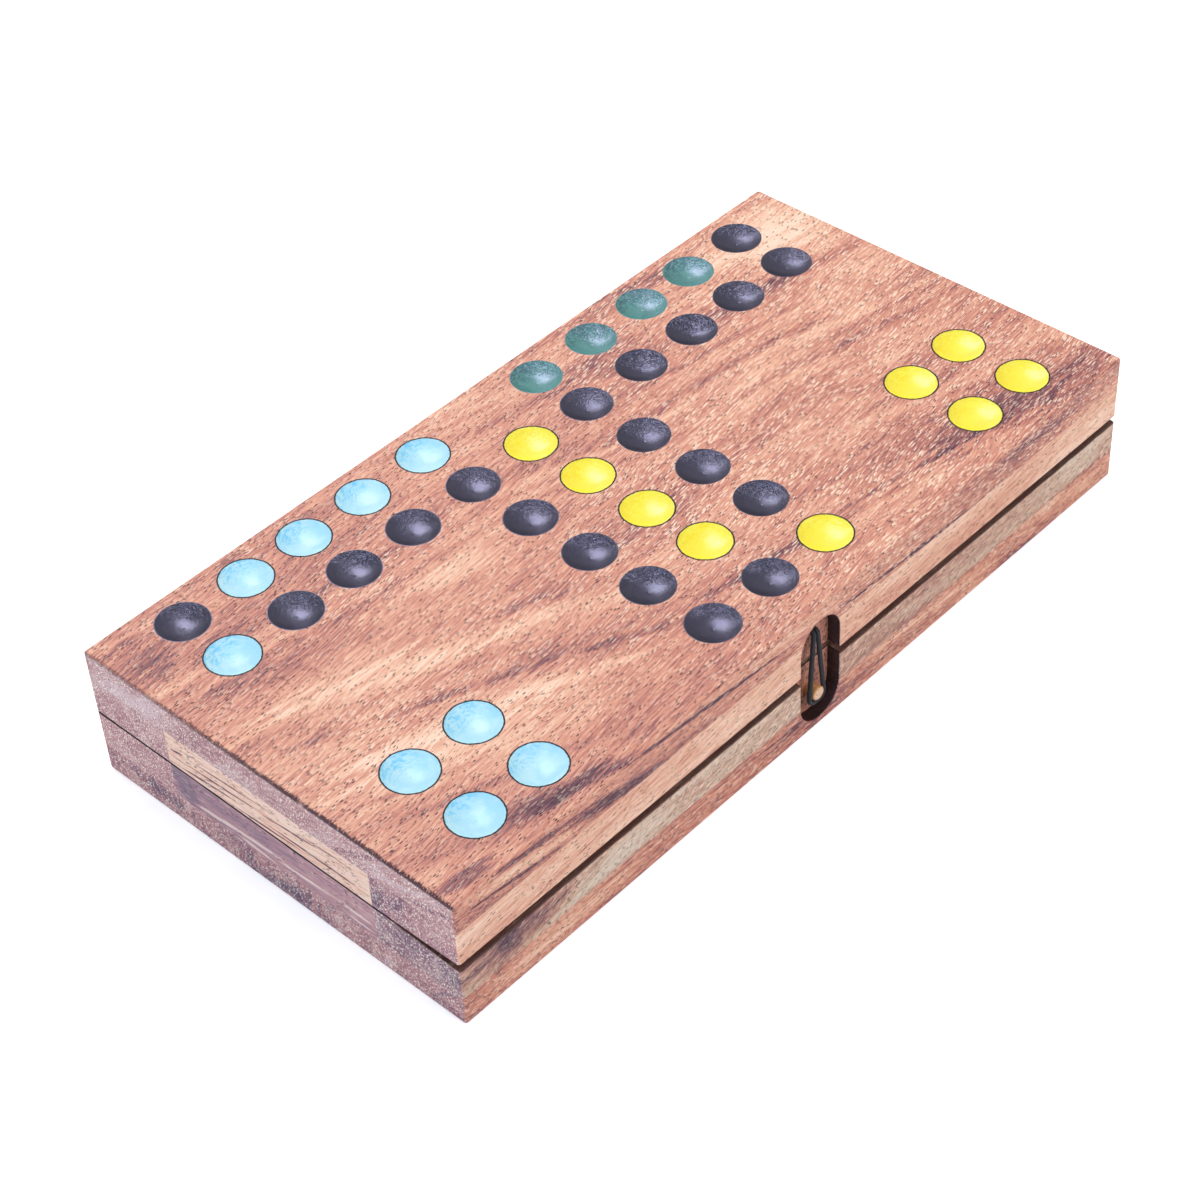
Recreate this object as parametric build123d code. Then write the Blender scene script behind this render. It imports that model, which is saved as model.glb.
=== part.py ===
"""Folding ludo board box in oiled hardwood, closed, in millimetres.

Two shallow trays, the lid and the base, are hinged along the back edge. Each tray is a playing board
with four rails glued round its inner side, which leaves a storage hollow. Opened by half a turn, the two
boards lie side by side as one square. An elastic loop in the lid's front edge hooks over a peg in the base.

+X runs along the box, the hinges are at +Y, the latch is at -Y and +Z is up. The origin is the middle of
the closed box's bounding box, on the surface that it stands on.
"""
from build123d import *
from math import asin, atan2, cos, hypot, sin, sqrt
import os

os.makedirs("parts", exist_ok=True)

# The closed box
box_length = 290.0  # along X, and one side of the square board when the box lies open
box_width = 145.0  # from the front face to the fold
board_thickness = 10.7
rail_height = 12.4
seam_gap = 0.2  # between the two rims
long_rail_width = 32.0  # front and back rails
end_rail_width = 32.0
base_finger_relief = 1.8  # the front rims slope apart by this much at the front face
lid_finger_relief = 0.6
relief_setback = 1.0  # from the inner edge of a front rail to where its slope starts
arris_radius = 1.0  # edges of the playing faces and the four upright corners
rim_arris_radius = 0.35
fold_clearance = 0.1  # from each back face to the hinge axis

# The drilled board: 11 columns across, and rows counted from the fold
side_margin = 25.9  # from an end face to the outermost column
fold_margin = 12.6  # from the back face to the row beside the fold
front_margin = 18.2  # from the front face to the last row
arm_reach = 5  # columns or rows from the middle of the cross to the end of an arm
column_drift = [0.0, 0.7, 1.7, 1.4, 0.1, 0.0]  # how far the hand drilling wanders off even spacing
row_drift = [0.0, -1.7, -1.2, -0.7, -1.2, 0.0]
home_column_shift = -0.6  # the corner homes, against columns and rows 4 and 5
home_row_shift = 0.35

# A painted hollow that a marble sits in
hollow_diameter = 16.5
hollow_depth = 2.8
paint_thickness = 0.15
drill_mark_diameter = 1.2
drill_mark_depth = 0.15

# The latch recess in the front face, a slot with round ends
slot_width = 17.4
slot_height = 37.9
slot_depth = 4.6
slot_offset = 0.4  # along X, from the middle of the box
slot_drop = 1.6  # its middle, below the seam
slot_arris_radius = 0.3

# The peg and the elastic loop
peg_diameter = 4.6
peg_rise = 8.75  # its axis, above the lower end of the slot
peg_recess = 0.5  # its end, behind the front face
peg_seat_depth = 12.0  # in the wood behind the slot
peg_glue_gap = 0.03
cord_diameter = 1.5
cord_hole_diameter = 3.3
cord_hole_drop = 1.8  # its axis, below the lid board's inner face
cord_hole_shift = 0.8  # along X, from the middle of the slot
cord_strand_gap = 0.08  # between the two strands in the hole
cord_peg_gap = 0.05
cord_exit_reach = 2.0  # how far the strands stand off the slot's back wall where they leave the hole
cord_peg_reach = 2.2  # the same at the peg
cord_exit_radius = 1.4
knot_diameter = 3.4
knot_length = 6.0
knot_drop = 0.3  # its axis, below the cord hole's

# The two butt hinges
hinge_length = 25.0
hinge_inset = 55.0  # from an end face to the middle of a hinge
leaf_width = 9.0  # from the pin's axis
leaf_thickness = 1.0
knuckle_diameter = 3.4
pin_diameter = 1.6
knuckle_count = 5
knuckle_gap = 0.15
pin_clearance = 0.05  # radial, in the lid leaf's knuckles
pin_seat_clearance = 0.01  # radial, in the base leaf's knuckles
mortise_clearance = 0.15
screw_spread = 14.0
screw_setback = 5.6  # from the pin's axis
screw_diameter = 2.0
screw_length = 9.0
screw_head_diameter = 3.8
screw_head_height = 0.85
screw_slot_width = 0.45
screw_slot_depth = 0.35
screw_clearance = 0.05

# Worked out from the values above
half_height = board_thickness + rail_height
seam_z = half_height + seam_gap / 2
hinge_reach = fold_clearance + knuckle_diameter / 2
front_y = -(box_width + hinge_reach) / 2
back_y = front_y + box_width
hinge_y = back_y + fold_clearance
front_rail_y = front_y + long_rail_width
relief_y = front_rail_y - relief_setback
back_rail_y = back_y - long_rail_width
end_rail_x = box_length / 2 - end_rail_width
column_pitch = (box_length / 2 - side_margin) / arm_reach
row_pitch = (box_width - fold_margin - front_margin) / arm_reach
slot_wall_y = front_y + slot_depth
slot_x = slot_offset
slot_z = seam_z - slot_drop
peg_z = slot_z - slot_height / 2 + peg_rise
cord_hole_x = slot_x + cord_hole_shift
cord_hole_z = seam_z + seam_gap / 2 + rail_height - cord_hole_drop
cord_radius = cord_diameter / 2
loop_radius = peg_diameter / 2 + cord_peg_gap + cord_radius

LID = 1
BASE = -1
TINY = 0.01


def level(side, height):
    """The z of a height above the rim, in the lid's tray or the base's."""
    return seam_z + side * (seam_gap / 2 + height)


def slab(x_range, y_range, z_range):
    """A box between two limits on each axis."""
    spans = [sorted(limits) for limits in (x_range, y_range, z_range)]
    sizes = [high - low for low, high in spans]
    middle = [(high + low) / 2 for low, high in spans]
    return Pos(*middle) * Box(*sizes)


def rod_y(x, z, diameter, start_y, end_y):
    """A round rod along Y."""
    body = Cylinder(diameter / 2, abs(end_y - start_y))
    return Pos(x, (start_y + end_y) / 2, z) * Rot(90, 0, 0) * body


def rod_x(y, z, diameter, start_x, end_x):
    """A round rod along X."""
    body = Cylinder(diameter / 2, abs(end_x - start_x))
    return Pos((start_x + end_x) / 2, y, z) * Rot(0, 90, 0) * body


def slot_tool():
    """The latch recess, and some air in front of it."""
    straight = slot_height - slot_width
    reach = slot_depth + arris_radius
    outline = SlotCenterToCenter(straight, slot_width, rotation=90)
    start = Plane(origin=(slot_x, slot_wall_y, slot_z), x_dir=(1, 0, 0), z_dir=(0, -1, 0))
    return extrude(start * outline, amount=reach)


def tray_block(side):
    """One tray as a solid block with its front rim relief, its latch recess and its rounded edges."""
    relief = lid_finger_relief if side == LID else base_finger_relief
    corners = [
        (0, front_y, level(side, relief)),
        (0, relief_y, level(side, 0)),
        (0, back_y, level(side, 0)),
        (0, back_y, level(side, half_height)),
        (0, front_y, level(side, half_height)),
    ]
    section = make_face(Polyline(*corners, close=True))
    block = extrude(section, amount=box_length / 2, dir=(1, 0, 0), both=True)

    def lies_at(edge, height):
        return abs(edge.center().Z - level(side, height)) < TINY

    outer = [e for e in block.edges() if lies_at(e, half_height)]
    block = fillet(outer + list(block.edges().filter_by(Axis.Z)), arris_radius)

    def on_rim(edge):
        low = abs(edge.center().Z - level(side, 0)) < relief + TINY
        slope_start = abs(edge.center().Y - relief_y) < TINY and edge.length > box_length / 2
        return low and not slope_start

    block = fillet([e for e in block.edges() if on_rim(e)], rim_arris_radius) - slot_tool()

    def on_slot_mouth(edge):
        middle = edge.center()
        across = abs(middle.X - slot_x) < slot_width / 2 + TINY
        return across and abs(middle.Y - front_y) < TINY

    return fillet([e for e in block.edges() if on_slot_mouth(e)], slot_arris_radius)


def column_x(column):
    """Where a column of hollows lies along X."""
    steps = abs(column)
    distance = steps * column_pitch + column_drift[steps]
    return distance if column > 0 else -distance


def row_y(row):
    """Where a row of hollows lies along Y, counted from the one beside the fold."""
    return back_y - (fold_margin + row * row_pitch + row_drift[row])


def cross_marks(side, left_colour, right_colour, front_colour):
    """One half of the ludo cross and its two corner homes, as {colour: [(x, y), ...]}.

    The base is the lid turned half round, without the middle row, so its columns count the other way and
    its first row takes the place beside the fold.
    """
    marks = {"black": []}

    def add(colour, column, row):
        marks.setdefault(colour, []).append((side * column_x(column), row_y(row)))

    first = 1 if side == LID else 0
    if side == LID:
        for step in range(1, arm_reach):
            add(left_colour, -step, 0)
            add(right_colour, step, 0)
        add("black", -arm_reach, 0)
        add("black", arm_reach, 0)
    add(left_colour, -arm_reach, first)
    add(front_colour, 0, first)
    for column in range(1 - arm_reach, arm_reach + 1):
        if column != 0:
            add("black", column, first)
    for row in range(first + 1, first + arm_reach - 1):
        add("black", -1, row)
        add(front_colour, 0, row)
        add("black", 1, row)
    last = first + arm_reach - 1
    add("black", -1, last)
    add("black", 0, last)
    add(front_colour, 1, last)
    for colour, hand in ((left_colour, -1), (front_colour, 1)):
        for step in (arm_reach - 1, arm_reach):
            for row in (arm_reach - 1, arm_reach):
                x = hand * (column_x(step) + home_column_shift)
                marks[colour].append((side * x, row_y(row) - home_row_shift))
    return marks


def bowl(inset):
    """The air in one hollow, opening towards +Z at z = 0, inset from the wood by a coat of paint."""
    radius = hollow_diameter / 2
    sphere_radius = (radius**2 + hollow_depth**2) / (2 * hollow_depth)
    centre_z = sphere_radius - hollow_depth
    shell = sphere_radius - inset
    mark_radius = drill_mark_diameter / 2 - inset
    rim_radius = sqrt(shell**2 - centre_z**2)
    mark_edge = (mark_radius, centre_z - sqrt(shell**2 - mark_radius**2))
    bend = (radius + mark_radius) / 2
    halfway = (bend, centre_z - sqrt(shell**2 - bend**2))
    tip = (0, inset - hollow_depth - drill_mark_depth)
    lines = [
        Line((0, 0), tip),
        Line(tip, mark_edge),
        ThreePointArc(mark_edge, halfway, (rim_radius, 0)),
        Line((rim_radius, 0), (0, 0)),
    ]
    return revolve(Plane.XZ * make_face(lines), Axis.Z)


def place_on_board(side, solid, x, y):
    """Sets a solid that opens towards +Z into the playing face of the lid or the base."""
    turn = Rot(0, 0, 0) if side == LID else Rot(180, 0, 0)
    return Pos(x, y, level(side, half_height)) * turn * solid


def board(side, block, marks):
    """The playing board of one tray, with its hollows."""
    heights = (level(side, rail_height), level(side, half_height))
    panel = block & slab((-box_length, box_length), (-box_width, box_width), heights)
    tool = bowl(0)
    places = [place for group in marks.values() for place in group]
    return panel - [place_on_board(side, tool, x, y) for x, y in places]


def paint(side, places):
    """The coats of one colour in the hollows, each a separate thin bowl."""
    coat = bowl(0) - bowl(paint_thickness)
    return Compound(children=[place_on_board(side, coat, x, y).solid() for x, y in places])


def rail(side, block, x_range, y_range):
    """One rail of a tray."""
    return block & slab(x_range, y_range, (level(side, 0), level(side, rail_height)))


def hinge_middles():
    """Where the hinges lie along X."""
    return [hinge_inset - box_length / 2, box_length / 2 - hinge_inset]


def screw_places():
    """Where a leaf's screws lie along X, over both hinges."""
    return [x + hand * screw_spread / 2 for x in hinge_middles() for hand in (-1, 1)]


def upright(side, x, y, near, far, near_diameter, far_diameter):
    """A cone or cylinder along Z between two heights above the rim."""
    low = min(level(side, near), level(side, far))
    widths = (near_diameter, far_diameter) if side == LID else (far_diameter, near_diameter)
    if near_diameter == far_diameter:
        body = Cylinder(near_diameter / 2, far - near)
    else:
        body = Cone(widths[0] / 2, widths[1] / 2, far - near)
    return Pos(x, y, low + (far - near) / 2) * body


def hinge_mortise(side, middle):
    """The air for one leaf, the barrel and the screws in a back rail."""
    half = hinge_length / 2 + mortise_clearance
    front = hinge_y - leaf_width - mortise_clearance
    air = slab((middle - half, middle + half), (front, back_y + box_width),
               (level(side, -1), level(side, leaf_thickness)))
    air += rod_x(hinge_y, seam_z, knuckle_diameter + 2 * mortise_clearance, middle - half, middle + half)
    hole = screw_diameter + 2 * screw_clearance
    for hand in (-1, 1):
        x = middle + hand * screw_spread / 2
        air += upright(side, x, hinge_y - screw_setback, 0, screw_length + screw_clearance, hole, hole)
    return air


def knuckle_spans(middle, side):
    """The stretches of barrel that belong to one leaf, the base's at both ends."""
    pitch = hinge_length / knuckle_count
    start = middle - hinge_length / 2
    owned = range(0, knuckle_count, 2) if side == BASE else range(1, knuckle_count, 2)
    trim = knuckle_gap / 2
    spans = []
    for index in owned:
        low = start + index * pitch + (trim if index > 0 else 0)
        high = start + (index + 1) * pitch - (trim if index < knuckle_count - 1 else 0)
        spans.append((low, high))
    return spans


def hinge_leaf(side, middle):
    """A leaf with its knuckles, let into the rim of its rail."""
    half = hinge_length / 2
    plate = slab((middle - half, middle + half), (hinge_y - leaf_width, hinge_y),
                 (level(side, 0), level(side, leaf_thickness)))
    barrel_air = knuckle_diameter + 2 * mortise_clearance
    for low, high in knuckle_spans(middle, -side):
        plate -= rod_x(hinge_y, seam_z, barrel_air, low - knuckle_gap, high + knuckle_gap)
    for low, high in knuckle_spans(middle, side):
        plate += rod_x(hinge_y, seam_z, knuckle_diameter, low, high)
    clearance = pin_clearance if side == LID else pin_seat_clearance
    plate -= rod_x(hinge_y, seam_z, pin_diameter + 2 * clearance, middle - hinge_length, middle + hinge_length)
    shank = screw_diameter + 2 * screw_clearance
    head = screw_head_diameter + 2 * screw_clearance
    y = hinge_y - screw_setback
    for hand in (-1, 1):
        x = middle + hand * screw_spread / 2
        plate -= upright(side, x, y, 0, leaf_thickness, shank, shank)
        plate -= upright(side, x, y, 0, screw_head_height + screw_clearance, head, shank)
    return plate


def hinge_pin(middle):
    """A plain pin, as long as the barrel, with rounded ends."""
    pin = rod_x(hinge_y, seam_z, pin_diameter, middle - hinge_length / 2, middle + hinge_length / 2)
    return fillet(pin.edges().filter_by(GeomType.CIRCLE), pin_diameter / 6)


def screw(side, x):
    """A slotted countersunk screw with a pointed end."""
    y = hinge_y - screw_setback
    point = screw_diameter
    body = upright(side, x, y, 0, screw_head_height, screw_head_diameter, screw_diameter)
    body += upright(side, x, y, screw_head_height, screw_length - point, screw_diameter, screw_diameter)
    body += upright(side, x, y, screw_length - point, screw_length, screw_diameter, screw_diameter / 4)
    reach = screw_head_diameter
    body -= slab((x - reach, x + reach), (y - screw_slot_width / 2, y + screw_slot_width / 2),
                 (level(side, -1), level(side, screw_slot_depth)))
    return body.solid()


def peg():
    """The dowel that the loop hooks over, with an eased end."""
    start = front_y + peg_recess
    dowel = rod_y(slot_x, peg_z, peg_diameter, start, slot_wall_y + peg_seat_depth)
    tip = dowel.edges().filter_by(GeomType.CIRCLE).sort_by(Axis.Y)[0]
    return chamfer(tip, peg_diameter / 16)


def strand_offset():
    """Half the distance between the two strands in the cord hole."""
    return cord_radius + cord_strand_gap / 2


def loop_corner(hand):
    """The corner below the peg where one strand's line meets the line under the peg."""
    across = cord_hole_x + hand * strand_offset() - slot_x
    along = cord_hole_z - peg_z
    lean = asin(loop_radius / hypot(across, along)) - atan2(hand * across, along)
    corner_x = slot_x + hand * loop_radius * (1 + sin(lean)) / cos(lean)
    return (corner_x, slot_wall_y - cord_peg_reach, peg_z - loop_radius)


def elastic_loop():
    """The loop outside the cord hole: two strands that leave the wood, drop and pass under the peg."""
    exits = {}
    bends = {}
    for hand in (-1, 1):
        x = cord_hole_x + hand * strand_offset()
        exits[hand] = (x, slot_wall_y, cord_hole_z)
        bends[hand] = (x, slot_wall_y - cord_exit_reach, cord_hole_z)
    route = [exits[-1], bends[-1], loop_corner(-1), loop_corner(1), bends[1], exits[1]]
    turn_radius = loop_radius - TINY
    path = FilletPolyline(*route, radius=[cord_exit_radius, turn_radius, turn_radius, cord_exit_radius])
    start = Plane(origin=exits[-1], z_dir=(0, -1, 0))
    return sweep(start * Circle(cord_radius), path=path)


def elastic_anchor():
    """The same cord inside the front rail, and the knot that holds it in the storage hollow."""
    knot_y = front_rail_y + knot_diameter / 2
    strands = [
        rod_y(cord_hole_x + hand * strand_offset(), cord_hole_z, cord_diameter, slot_wall_y, knot_y)
        for hand in (-1, 1)
    ]
    half = knot_length / 2
    knot = rod_x(knot_y, cord_hole_z - knot_drop, knot_diameter, cord_hole_x - half, cord_hole_x + half)
    knot = fillet(knot.edges().filter_by(GeomType.CIRCLE), knot_diameter * 0.45)
    return knot + strands[0] + strands[1]


def build():
    """Every piece by its name."""
    pieces = {}
    long_x = (-box_length, box_length)
    front_band = (front_y - 1, front_rail_y)
    middle_band = (front_rail_y, back_rail_y)
    back_band = (back_rail_y, back_y + 1)
    marks = {
        LID: cross_marks(LID, "blue", "green", "yellow"),
        BASE: cross_marks(BASE, "green", "blue", "red"),
    }
    peg_hole = rod_y(slot_x, peg_z, peg_diameter + 2 * peg_glue_gap, front_y, slot_wall_y + peg_seat_depth)
    cord_hole = rod_y(cord_hole_x, cord_hole_z, cord_hole_diameter, front_y, front_rail_y + 1)
    for side, name in ((LID, "lid"), (BASE, "base")):
        block = tray_block(side)
        pieces[f"{name}_board"] = board(side, block, marks[side])
        pieces[f"{name}_front_rail"] = rail(side, block, long_x, front_band)
        pieces[f"{name}_back_rail"] = rail(side, block, long_x, back_band)
        pieces[f"{name}_left_rail"] = rail(side, block, (-box_length, -end_rail_x), middle_band)
        pieces[f"{name}_right_rail"] = rail(side, block, (end_rail_x, box_length), middle_band)
        for middle in hinge_middles():
            pieces[f"{name}_back_rail"] -= hinge_mortise(side, middle)
        for colour, places in marks[side].items():
            pieces[f"{name}_{colour}_enamel"] = paint(side, places)
        pieces[f"{name}_hinge_screws"] = Compound(children=[screw(side, x) for x in screw_places()])
    pieces["base_board"] -= peg_hole
    pieces["base_front_rail"] -= peg_hole
    pieces["lid_front_rail"] -= cord_hole
    for middle, place in zip(hinge_middles(), ("left", "right")):
        pieces[f"{place}_hinge_lid_leaf"] = hinge_leaf(LID, middle)
        pieces[f"{place}_hinge_base_leaf"] = hinge_leaf(BASE, middle)
        pieces[f"{place}_hinge_pin"] = hinge_pin(middle)
    pieces["latch_peg"] = peg()
    pieces["elastic_loop"] = elastic_loop()
    pieces["elastic_anchor"] = elastic_anchor()
    return pieces


for node, piece in build().items():
    export_step(piece, f"parts/{node}.step")
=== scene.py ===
"""Looks of the folding ludo board box: oiled hardwood, brushed enamel, a braided elastic latch and brass.

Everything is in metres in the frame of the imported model. Lengths that are easier to read in millimetres
are written as such and multiplied by MM. Patterns are drawn in millimetres too.
"""
import math

import bmesh
import bpy
from mathutils import Matrix, Vector


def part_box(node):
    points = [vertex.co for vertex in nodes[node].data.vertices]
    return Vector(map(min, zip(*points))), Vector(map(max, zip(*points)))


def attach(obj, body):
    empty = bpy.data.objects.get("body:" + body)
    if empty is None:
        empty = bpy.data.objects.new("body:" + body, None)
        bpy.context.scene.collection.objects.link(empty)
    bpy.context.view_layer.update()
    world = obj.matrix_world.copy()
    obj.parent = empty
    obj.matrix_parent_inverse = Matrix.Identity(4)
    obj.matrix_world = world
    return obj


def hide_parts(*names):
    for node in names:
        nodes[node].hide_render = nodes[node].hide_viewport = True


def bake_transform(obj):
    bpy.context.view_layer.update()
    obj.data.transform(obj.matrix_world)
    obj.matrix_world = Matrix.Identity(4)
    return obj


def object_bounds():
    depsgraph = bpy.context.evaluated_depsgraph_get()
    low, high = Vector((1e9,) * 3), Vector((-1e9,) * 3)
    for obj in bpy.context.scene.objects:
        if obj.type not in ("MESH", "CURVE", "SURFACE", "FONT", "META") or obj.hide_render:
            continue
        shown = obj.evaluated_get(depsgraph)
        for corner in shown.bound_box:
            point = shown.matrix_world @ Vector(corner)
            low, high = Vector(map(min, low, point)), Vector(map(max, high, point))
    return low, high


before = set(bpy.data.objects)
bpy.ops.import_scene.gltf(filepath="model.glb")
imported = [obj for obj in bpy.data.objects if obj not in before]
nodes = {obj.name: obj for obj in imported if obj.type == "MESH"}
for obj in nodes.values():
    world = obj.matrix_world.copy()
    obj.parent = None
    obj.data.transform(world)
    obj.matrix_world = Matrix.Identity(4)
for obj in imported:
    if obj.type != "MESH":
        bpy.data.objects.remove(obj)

MM = 0.001
cad_low, cad_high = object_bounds()

# The box, read from the frame
lid_low, lid_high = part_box("lid_board")
base_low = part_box("base_board")[0]
front_rail_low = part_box("lid_front_rail")[0]
peg_low, peg_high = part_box("latch_peg")
loop_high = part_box("elastic_loop")[1]
anchor_low, anchor_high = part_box("elastic_anchor")
top_z = lid_high.z


def srgb(red, green, blue):
    """A colour written as 0 to 255, as Blender's linear red, green, blue and alpha."""
    def linear(value):
        """One channel from Blender's display curve to light."""
        share = value / 255
        return share / 12.92 if share <= 0.04045 else ((share + 0.055) / 1.055) ** 2.4
    return (linear(red), linear(green), linear(blue), 1.0)


# ---------------------------------------------------------------- node trees


class Finish:
    """A material under construction, with a short call for each kind of node that the finishes share."""

    def __init__(self, name):
        """Starts a new material with a Principled shader."""
        self.material = bpy.data.materials.new(name)
        self.material.use_nodes = True
        self.tree = self.material.node_tree
        self.shader = self.tree.nodes["Principled BSDF"]

    def plug(self, socket, value):
        """Sets a socket to a number or colour, or links it to another node's output."""
        if isinstance(value, bpy.types.NodeSocket):
            self.tree.links.new(value, socket)
        else:
            socket.default_value = value

    def node(self, kind, inputs=(), **settings):
        """A new node of a kind, with its inputs plugged and its settings made."""
        made = self.tree.nodes.new(kind)
        for key, value in settings.items():
            setattr(made, key, value)
        for key, value in dict(inputs).items():
            self.plug(made.inputs[key], value)
        return made

    def math(self, operation, *values):
        """The result of a sum on plain numbers."""
        made = self.node("ShaderNodeMath", operation=operation)
        for index, value in enumerate(values):
            self.plug(made.inputs[index], value)
        return made.outputs[0]

    def vector(self, operation, *values):
        """The result of a sum on vectors."""
        made = self.node("ShaderNodeVectorMath", operation=operation)
        for index, value in enumerate(values):
            self.plug(made.inputs[index], value)
        return made.outputs["Value" if operation in ("LENGTH", "DOT_PRODUCT") else "Vector"]

    def turned(self, coords, angles_deg=(0, 0, 0), scale=(1, 1, 1), move=(0, 0, 0)):
        """Coordinates that lay a pattern at a place and a turn, and stretch it by 1 / scale."""
        radians = [math.radians(angle) for angle in angles_deg]
        moved = self.vector("SUBTRACT", coords, move)
        rotate = self.node("ShaderNodeVectorRotate", {"Vector": moved, "Rotation": radians},
                           rotation_type="EULER_XYZ", invert=True)
        return self.vector("MULTIPLY", rotate.outputs[0], scale)

    def noise(self, coords, detail=3.0, roughness=0.55, distortion=0.0, colour=False):
        """A cloudy pattern that runs about 0.5, or three of them as a colour."""
        made = self.node("ShaderNodeTexNoise", {"Vector": coords, "Scale": 1.0, "Detail": detail,
                                                "Roughness": roughness, "Distortion": distortion})
        return made.outputs["Color" if colour else "Fac"]

    def cells(self, coords):
        """Cells scattered with one to each unit of space."""
        return self.node("ShaderNodeTexVoronoi", {"Vector": coords, "Scale": 1.0, "Randomness": 1.0})

    def step(self, value, start, end, low=0.0, high=1.0):
        """A smooth step from low to high as the value goes from start to end."""
        inputs = {"Value": value, "From Min": start, "From Max": end, "To Min": low, "To Max": high}
        made = self.node("ShaderNodeMapRange", inputs, interpolation_type="SMOOTHSTEP")
        return made.outputs["Result"]

    def mix(self, factor, first, second, blend="MIX"):
        """Two colours blended by a factor."""
        made = self.node("ShaderNodeMix", data_type="RGBA", blend_type=blend)
        for index, value in ((0, factor), (6, first), (7, second)):
            self.plug(made.inputs[index], value)
        return made.outputs[2]

    def ramp(self, value, stops):
        """A colour looked up along stops, each a place from 0 to 1 and its colour."""
        made = self.node("ShaderNodeValToRGB", {"Fac": value})
        ends = made.color_ramp.elements
        while len(ends) < len(stops):
            ends.new(0.5)
        for element, (place, colour) in zip(ends, stops):
            element.position = place
            element.color = colour
        return made.outputs["Color"]

    def bump(self, height, distance, strength):
        """A normal that follows a height, where a height of 1 stands off by the distance."""
        inputs = {"Height": height, "Distance": distance, "Strength": strength}
        return self.node("ShaderNodeBump", inputs).outputs["Normal"]

    def place(self):
        """The object's own coordinates, in millimetres."""
        coords = self.node("ShaderNodeTexCoord").outputs["Object"]
        return self.vector("MULTIPLY", coords, (1 / MM, 1 / MM, 1 / MM))

    def facing(self, axis):
        """How squarely the surface faces along an axis, from 0 to 1."""
        normal = self.node("ShaderNodeTexCoord").outputs["Normal"]
        return self.math("ABSOLUTE", self.vector("DOT_PRODUCT", normal, axis))

    def surface(self, **inputs):
        """Plugs the shader's inputs, named with _ for a space, and gives the finished material."""
        for key, value in inputs.items():
            self.plug(self.shader.inputs[key.replace("_", " ")], value)
        return self.material


def dress(name, material):
    """Gives a CAD node, which stays as it is, a material."""
    slots = nodes[name].data.materials
    slots.clear()
    slots.append(material)


# ---------------------------------------------------------------- wood

PURPLE = srgb(88, 54, 68)
PURPLE_BROWN = srgb(144, 90, 92)
RED_BROWN = srgb(197, 128, 110)
ORANGE = srgb(219, 156, 131)
PEACH = srgb(234, 184, 155)
CREAM = srgb(247, 209, 185)
HEARTWOOD = (
    (0.0, PURPLE),
    (0.2, PURPLE_BROWN),
    (0.4, RED_BROWN),
    (0.6, ORANGE),
    (0.8, PEACH),
    (1.0, CREAM),
)
PORE_DARK = srgb(42, 24, 30)
FLECK_PALE = srgb(253, 222, 198)
FLECK_WHITE = srgb(255, 240, 220)
# The end grain's own paler colour with a painted cool sheen of bluish light
END_GRAIN_COOL_SHEEN_TINT = srgb(214, 206, 238)
END_GRAIN_WASH = srgb(200, 162, 174)
# Scorch with painted shade inside the latch slot, and the lighter colour of its back wall
SCORCH_AND_SHADE = srgb(40, 24, 24)
SLOT_BACK_WALL = srgb(204, 140, 120)
# Painted shade, with some grime, for the rim slopes in the gap under the lid's overhang
GRIME_AND_GAP_SHADE = srgb(84, 50, 44)
# Painted shade of the joint between the two halves, with dirt in it
SEAM_SHADE = srgb(44, 26, 30)
NO_TINT = srgb(255, 255, 255)

# The face that a band of figure lies on: its two axes and the way that it faces
FACES = {
    "top": ("X", "Y", (0, 0, 1)),
    "front": ("X", "Z", (0, 1, 0)),
    "end": ("Y", "Z", (1, 0, 0)),
}

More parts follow.
